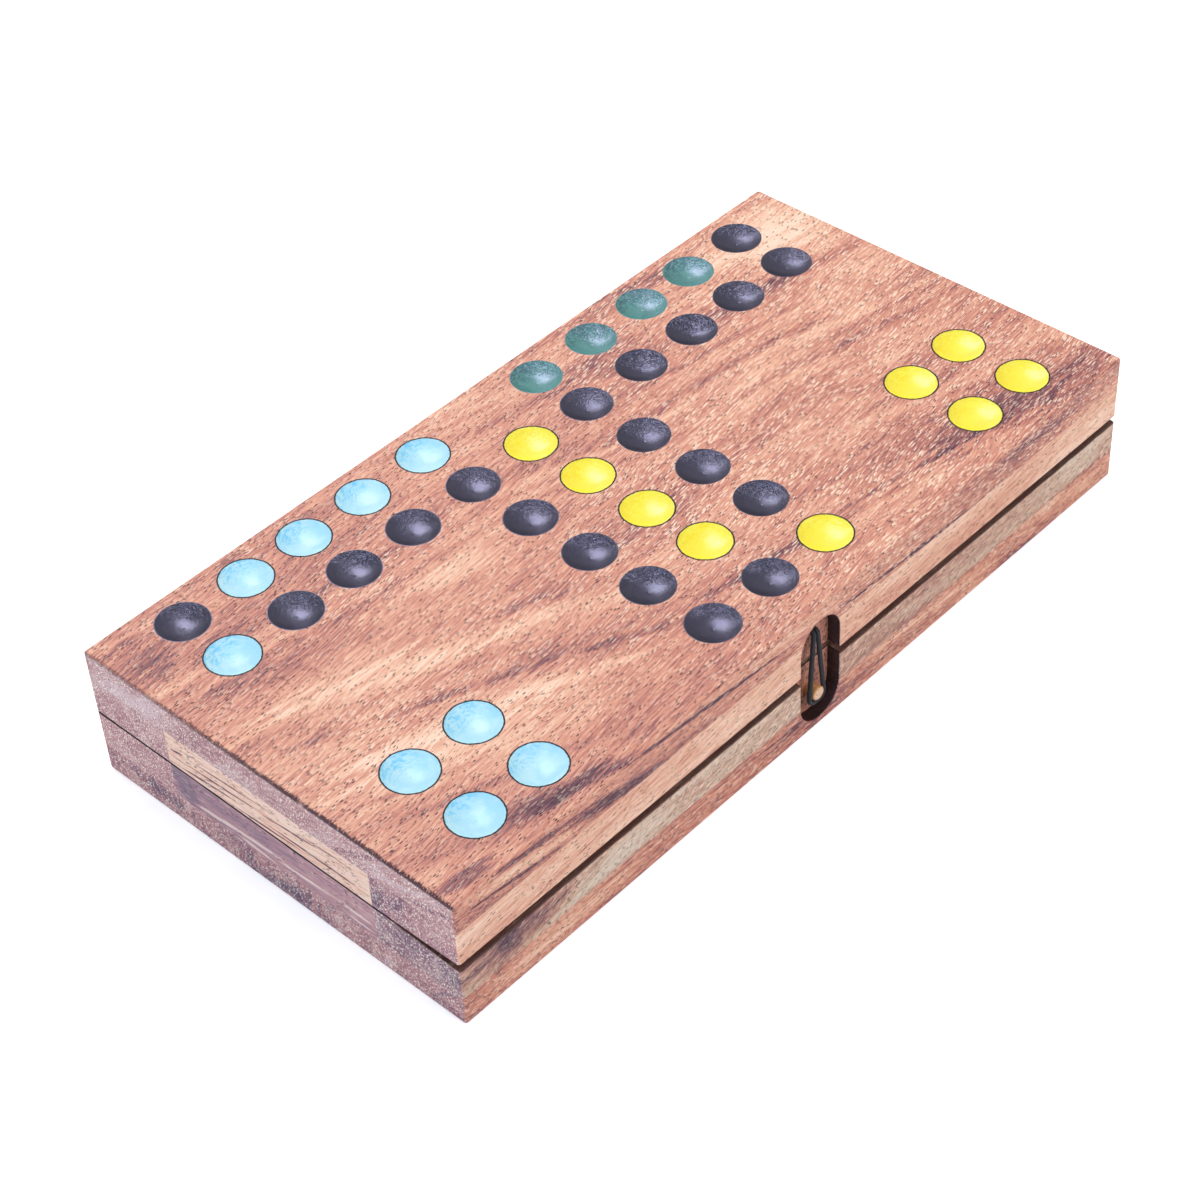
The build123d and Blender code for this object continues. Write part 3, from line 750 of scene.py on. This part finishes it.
def outline_rings(side, colour):
    """The dark scorched rim that shows round a bright hollow, uneven in width, on the playing face."""
    shape = bmesh.new()
    rise = OUTLINE_RISE_MM * MM
    level = top_z + rise if side == "lid" else base_low.z - rise
    for number, (x, y) in enumerate(hollow_middles(f"{side}_{colour}_enamel")):
        inner, outer = [], []
        for step in range(OUTLINE_STEPS):
            turn = 2 * math.pi * step / OUTLINE_STEPS
            wobble = 0.05 * math.sin(3 * turn + number) + 0.03 * math.sin(11 * turn + 2.3 * number)
            nick = 0.03 * math.sin(29 * turn + 5.1 * number)
            inside = (OUTLINE_INSIDE_MM + wobble + nick) * MM
            outside = (OUTLINE_OUTSIDE_MM + wobble) * MM
            for ring, reach in ((inner, inside), (outer, outside)):
                place = (x + reach * math.cos(turn), y + reach * math.sin(turn), level)
                ring.append(shape.verts.new(place))
        for step in range(OUTLINE_STEPS):
            after = (step + 1) % OUTLINE_STEPS
            corners = (inner[step], outer[step], outer[after], inner[after])
            shape.faces.new(corners if side == "lid" else corners[::-1])
    mesh = bpy.data.meshes.new(f"{side}_{colour}_outlines")
    shape.to_mesh(mesh)
    shape.free()
    rings = bpy.data.objects.new(mesh.name, mesh)
    bpy.context.scene.collection.objects.link(rings)
    make = Finish(mesh.name)
    soot = make.noise(make.turned(make.place(), scale=(1.4, 1.4, 1.4)), detail=3.0)
    tone = make.ramp(soot, ((0.3, srgb(8, 8, 16)), (0.7, srgb(26, 22, 34))))
    mesh.materials.append(make.surface(Base_Color=tone, Roughness=0.6))
    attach(rings, side)


# ---------------------------------------------------------------- elastic cord

CORD_DIAMETER_MM = 1.5
CORD_BRAID_STRANDS = 8
CORD_LAY_MM = 3.2
THREAD_DEPTH = 0.045
CORD_SIDES = 24
CORD_STEP_MM = 0.10
STRAND_OFFSET_MM = 0.79
KNOT_RADIUS_MM = 1.7
KNOT_STEPS = 24
# How far out from the slot's back wall the loop bends down, how far out it hangs on the peg, the gap
# between them, and how far its ends run into the knot
EXIT_REACH_MM = 2.0
PEG_REACH_MM = 3.1
PEG_GAP_MM = 0.05
KNOT_DEPTH_MM = 1.2
peg_middle = (peg_low + peg_high) / 2
peg_radius_mm = (peg_high.x - peg_low.x) / 2 / MM


def smooth_line(name, points_mm):
    """Points a fine step apart along a NURBS spline that follows a route in millimetres."""
    curve = bpy.data.curves.new(name, "CURVE")
    curve.dimensions = "3D"
    spline = curve.splines.new("NURBS")
    spline.points.add(len(points_mm) - 1)
    for point, place in zip(spline.points, points_mm):
        point.co = (*(value * MM for value in place), 1.0)
    spline.order_u = 3
    spline.use_endpoint_u = True
    spline.resolution_u = 40
    line = bpy.data.objects.new(name, curve)
    bpy.context.scene.collection.objects.link(line)
    mesh = bpy.data.meshes.new_from_object(line)
    places = [vertex.co.copy() for vertex in mesh.vertices]
    bpy.data.objects.remove(line)
    bpy.data.curves.remove(curve)
    bpy.data.meshes.remove(mesh)
    return evenly(places, CORD_STEP_MM * MM)


def evenly(places, spacing):
    """The same line with its points an even distance apart."""
    run = [0.0]
    for first, second in zip(places, places[1:]):
        run.append(run[-1] + (second - first).length)
    count = max(2, round(run[-1] / spacing))
    even, index = [], 0
    for step in range(count + 1):
        target = run[-1] * step / count
        while index < len(run) - 2 and run[index + 1] < target:
            index += 1
        share = (target - run[index]) / max(run[index + 1] - run[index], 1e-12)
        even.append(places[index].lerp(places[index + 1], min(1.0, share)))
    return even


def braided_tube(shape, line, diameter_mm):
    """Adds a tube along a line whose surface is a braid: two sets of threads that wind opposite ways."""
    radius = diameter_mm / 2 * MM
    side = (line[1] - line[0]).orthogonal().normalized()
    rings = []
    for index, place in enumerate(line):
        before, after = line[max(index - 1, 0)], line[min(index + 1, len(line) - 1)]
        along = (after - before).normalized()
        side = (side - along * side.dot(along)).normalized()
        other = along.cross(side)
        travel = index * CORD_STEP_MM / CORD_LAY_MM * 2 * math.pi
        ring = []
        for step in range(CORD_SIDES):
            turn = 2 * math.pi * step / CORD_SIDES
            left = math.cos(CORD_BRAID_STRANDS / 2 * turn + CORD_BRAID_STRANDS / 2 * travel)
            right = math.cos(CORD_BRAID_STRANDS / 2 * turn - CORD_BRAID_STRANDS / 2 * travel)
            reach = radius * (1 - THREAD_DEPTH + THREAD_DEPTH * max(left, right))
            ring.append(shape.verts.new(place + (side * math.cos(turn) + other * math.sin(turn)) * reach))
        rings.append(ring)
    for ring, after in zip(rings, rings[1:]):
        for step in range(CORD_SIDES):
            following = (step + 1) % CORD_SIDES
            shape.faces.new((ring[step], ring[following], after[following], after[step])).smooth = True
    shape.faces.new(rings[0][::-1])
    shape.faces.new(rings[-1])


def loop_route():
    """The cord's route: out of the knot, through the front rail, down, round the peg and back."""
    hole_x = (anchor_low.x + anchor_high.x) / 2 / MM
    hole_z = loop_high.z / MM - CORD_DIAMETER_MM / 2
    knot_y = anchor_high.y / MM - KNOT_DEPTH_MM
    grip = peg_radius_mm + CORD_DIAMETER_MM / 2 + PEG_GAP_MM
    low_y = slot_wall_mm - PEG_REACH_MM
    peg_place = Vector((peg_middle.x / MM, low_y, peg_middle.z / MM))
    halves = []
    for hand in (-1, 1):
        x = hole_x + hand * STRAND_OFFSET_MM
        bend = Vector((x, slot_wall_mm - EXIT_REACH_MM, hole_z))
        beside = peg_place + Vector((hand * grip, 0, 0))
        halves.append([
            Vector((x, knot_y, hole_z)),
            Vector((x, slot_wall_mm + 4, hole_z)),
            Vector((x, slot_wall_mm + 0.4, hole_z)),
            bend,
            bend.lerp(beside, 0.12),
            bend.lerp(beside, 0.86),
            beside,
            peg_place + Vector((hand * grip, 0, -grip * 0.62)),
            peg_place + Vector((hand * grip * 0.62, 0, -grip)),
        ])
    return halves[0] + [peg_place + Vector((0, 0, -grip))] + halves[1][::-1]


def knot_route():
    """A tight knot behind the rail: a winding that crosses itself three times, squeezed along the box."""
    middle = Vector(((anchor_low.x + anchor_high.x) / 2 / MM, anchor_high.y / MM - KNOT_RADIUS_MM,
                     anchor_low.z / MM + KNOT_RADIUS_MM))
    places = []
    for step in range(KNOT_STEPS + 1):
        turn = 2 * math.pi * step / KNOT_STEPS
        lobe = Vector((2.1 * math.sin(turn), 0.9 * math.cos(2 * turn), 0.9 * math.sin(3 * turn)))
        places.append(middle + lobe)
    return places


def cord_finish():
    """Black elastic with a faint blue-grey bloom on its threads."""
    make = Finish("elastic_cord")
    place = make.place()
    lint = make.noise(make.turned(place, scale=(2.5, 2.5, 2.5)), detail=4.0, roughness=0.7)
    thread = make.noise(make.turned(place, scale=(6.0, 6.0, 1.2)), detail=2.0)
    colour = make.mix(make.step(lint, 0.48, 0.72), srgb(17, 20, 25), srgb(46, 58, 72))
    return make.surface(Base_Color=colour, Roughness=0.68, Sheen_Weight=0.08, Sheen_Roughness=0.5,
                        Normal=make.bump(thread, 0.08 * MM, 0.6))


def add_cord():
    """One braided cord from the knot to the peg and back, with its knot, in place of the loop and anchor
    nodes.
    """
    shape = bmesh.new()
    braided_tube(shape, smooth_line("loop_line", loop_route()), CORD_DIAMETER_MM)
    braided_tube(shape, smooth_line("knot_line", knot_route()), CORD_DIAMETER_MM * 0.9)
    mesh = bpy.data.meshes.new("latch_cord")
    shape.to_mesh(mesh)
    shape.free()
    mesh.materials.append(cord_finish())
    cord = bpy.data.objects.new("latch_cord", mesh)
    bpy.context.scene.collection.objects.link(cord)
    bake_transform(cord)
    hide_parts("elastic_loop", "elastic_anchor")


# ---------------------------------------------------------------- metal


def brass():
    """Drawn brass with fine scratches and a little tarnish."""
    make = Finish("brass")
    place = make.place()
    drawn = make.noise(make.turned(place, scale=(0.4, 6.0, 6.0)), detail=3.0, roughness=0.7)
    tarnish = make.noise(make.turned(place, scale=(0.35, 0.35, 0.35)), detail=4.0)
    colour = make.mix(make.step(tarnish, 0.48, 0.72), srgb(200, 170, 120), srgb(158, 126, 82))
    roughness = make.math("ADD", 0.24, make.math("MULTIPLY", drawn, 0.2))
    return make.surface(Base_Color=colour, Metallic=1.0, Roughness=roughness,
                        Normal=make.bump(drawn, 0.02 * MM, 0.5))


def dress_brass():
    """Hinge leaves, pins and screws are all of brass."""
    material = brass()
    for name in nodes:
        if "hinge" in name:
            dress(name, material)


dress_wood()
dress("latch_peg", peg_wood())
dress_enamel()
dress_brass()
for ring_side, ring_colour in (("lid", "blue"), ("lid", "yellow"), ("base", "red")):
    outline_rings(ring_side, ring_colour)
add_cord()


# ---------------------------------------------------------------- camera, light and floor

CAMERA_PLACE_MM = (-430.5, -418.1, 555.6)
CAMERA_RIGHT = (0.67643, -0.73508, -0.04583)
CAMERA_FORWARD = (0.52115, 0.52167, -0.67547)
CAMERA_LENS = 80.98
WHITE = (1.0, 1.0, 1.0, 1.0)
# How strongly the white studio lights the object from low down and from overhead, how far a reflection
# sees the camera's plain white instead, and the floor's reach in metres and its glow to the camera
HORIZON_LIGHT = 0.20
ZENITH_LIGHT = 0.38
GLOSS_SHARE = 0.28
FLOOR_REACH = 4.0
FLOOR_GLOW = 0.56


def add_camera():
    """The photographer's place, turn and lens."""
    camera = bpy.data.objects.new("camera", bpy.data.cameras.new("camera"))
    bpy.context.scene.collection.objects.link(camera)
    forward = Vector(CAMERA_FORWARD).normalized()
    right = Vector(CAMERA_RIGHT)
    right = (right - forward * right.dot(forward)).normalized()
    up = right.cross(forward)
    turn = Matrix((right, up, -forward)).transposed().to_4x4()
    camera.matrix_world = Matrix.Translation(Vector(CAMERA_PLACE_MM) * MM) @ turn
    camera.data.lens = CAMERA_LENS
    camera.data.sensor_width = 36.0
    camera.data.clip_start = 0.01
    bpy.context.scene.camera = camera


def add_lamp(name, direction, distance, size, power, colour=(1.0, 1.0, 1.0), height=None, in_gloss=True):
    """A soft box that faces the object from a direction, square unless it has a height of its own."""
    lamp = bpy.data.lights.new(name, "AREA")
    lamp.shape = "RECTANGLE"
    lamp.size = size
    lamp.size_y = height or size
    lamp.energy = power
    lamp.color = colour
    holder = bpy.data.objects.new(name, lamp)
    holder.visible_glossy = in_gloss
    bpy.context.scene.collection.objects.link(holder)
    towards = Vector(direction).normalized()
    holder.location = towards * distance
    holder.rotation_mode = "QUATERNION"
    holder.rotation_quaternion = (-towards).to_track_quat("-Z", "Y")


def seen_directly(tree):
    """1 where the camera looks, GLOSS_SHARE where a reflection looks, and 0 for light on the object."""
    rays = tree.nodes.new("ShaderNodeLightPath")
    in_gloss = tree.nodes.new("ShaderNodeMath")
    in_gloss.operation = "MULTIPLY"
    tree.links.new(rays.outputs["Is Glossy Ray"], in_gloss.inputs[0])
    in_gloss.inputs[1].default_value = GLOSS_SHARE
    either = tree.nodes.new("ShaderNodeMath")
    either.operation = "MAXIMUM"
    tree.links.new(rays.outputs["Is Camera Ray"], either.inputs[0])
    tree.links.new(in_gloss.outputs[0], either.inputs[1])
    return either.outputs[0]


def add_world():
    """An even white studio, brighter overhead, which the camera sees as plain white."""
    world = bpy.data.worlds.new("studio")
    world.use_nodes = True
    tree = world.node_tree
    background = tree.nodes["Background"]
    coords = tree.nodes.new("ShaderNodeTexCoord")
    axes = tree.nodes.new("ShaderNodeSeparateXYZ")
    tree.links.new(coords.outputs["Generated"], axes.inputs[0])
    height = tree.nodes.new("ShaderNodeMapRange")
    tree.links.new(axes.outputs["Z"], height.inputs["Value"])
    height.inputs["To Min"].default_value = HORIZON_LIGHT
    height.inputs["To Max"].default_value = ZENITH_LIGHT
    level = tree.nodes.new("ShaderNodeMix")
    tree.links.new(seen_directly(tree), level.inputs[0])
    tree.links.new(height.outputs["Result"], level.inputs[2])
    level.inputs[3].default_value = 1.0
    tree.links.new(level.outputs[0], background.inputs["Strength"])
    background.inputs["Color"].default_value = WHITE
    bpy.context.scene.world = world


def add_floor():
    """A pale floor that the camera sees as white, and that keeps the object's shadow."""
    shape = bmesh.new()
    bmesh.ops.create_grid(shape, x_segments=1, y_segments=1, size=FLOOR_REACH)
    mesh = bpy.data.meshes.new("floor")
    shape.to_mesh(mesh)
    shape.free()
    floor = bpy.data.objects.new("floor", mesh)
    floor.location.z = cad_low.z - 0.05 * MM
    bpy.context.scene.collection.objects.link(floor)
    make = Finish("floor")
    make.plug(make.shader.inputs["Emission Strength"],
              make.math("MULTIPLY", seen_directly(make.tree), FLOOR_GLOW))
    mesh.materials.append(make.surface(Base_Color=(0.86, 0.86, 0.87, 1.0), Roughness=1.0,
                                       Emission_Color=WHITE, Specular_IOR_Level=0.0))


add_camera()
add_world()
add_floor()
add_lamp("key", (0.158, 0.52, 0.84), 1.3, 0.55, 8.6, height=1.15)
add_lamp("back", (0.415, 0.809, 0.417), 1.5, 1.2, 9.0, in_gloss=False)
add_lamp("fill", (0.20, -0.80, 0.57), 1.5, 0.7, 9.0, (1.0, 0.97, 0.96))
add_lamp("side", (-0.92, -0.20, 0.38), 1.5, 0.7, 11.5, (0.55, 0.74, 1.0))
bpy.context.scene.view_settings.view_transform = "Standard"
